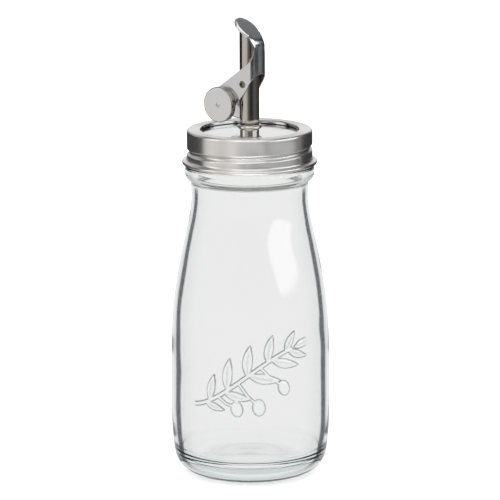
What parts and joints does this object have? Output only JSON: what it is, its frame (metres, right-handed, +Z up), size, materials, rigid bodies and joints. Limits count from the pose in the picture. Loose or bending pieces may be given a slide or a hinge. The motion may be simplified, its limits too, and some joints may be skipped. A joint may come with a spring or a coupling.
{
  "type": "oil dispenser bottle",
  "caption": "Clear glass table oil bottle with a steel screw ring, a recessed lid and an upright pouring tube closed by a counterweighted flap that tips open when pouring.",
  "frame": {"origin": "middle of the standing ring under the base, on the surface the bottle stands on", "axes": "+Z up along the bottle's axis; oil pours towards -X; the flap turns about a line along Y"},
  "size_m": [0.0712, 0.071, 0.2065],
  "materials": {
    "clear_glass": "clear, fire-polished soda-lime glass",
    "ring_steel": "satin stainless sheet, turned grain",
    "lid_steel": "bright satin stainless sheet",
    "gasket": "matt white silicone",
    "polished_steel": "polished stainless",
    "flap_steel": "tumbled satin stainless sheet",
    "weight_steel": "satin stainless, turned faces"
  },
  "bodies": {
    "bottle": {"glass_bottle": "clear_glass"},
    "lid": {"lid_disc": "lid_steel", "lid_gasket": "gasket", "spout_ferrule": "polished_steel", "spout_tube": "polished_steel", "pivot_studs": "polished_steel"},
    "ring": {"screw_ring": "ring_steel"},
    "flap": {"flap_lever": "flap_steel", "counterweight_near": "weight_steel", "counterweight_far": "weight_steel", "counterweight_rivets": "weight_steel"}
  },
  "joints": [
    {"name": "lid_lift", "type": "slide", "parent": "bottle", "child": "lid", "axis": [0, 0, 1], "range_m": [0, 0.01482]},
    {"name": "ring_turn", "type": "hinge", "parent": "lid", "child": "ring", "pos_m": [0, 0, 0.1495], "axis": [0, 0, 1], "range_deg": [0, 1260]},
    {"name": "flap_hinge", "type": "hinge", "parent": "lid", "child": "flap", "pos_m": [0, 0, 0.1775], "axis": [0, 1, 0], "range_deg": [0, 80]}
  ],
  "couplings": [
    {"joint": "lid_lift", "follows": "ring_turn", "m_per_rad": 0.0006737}
  ]
}
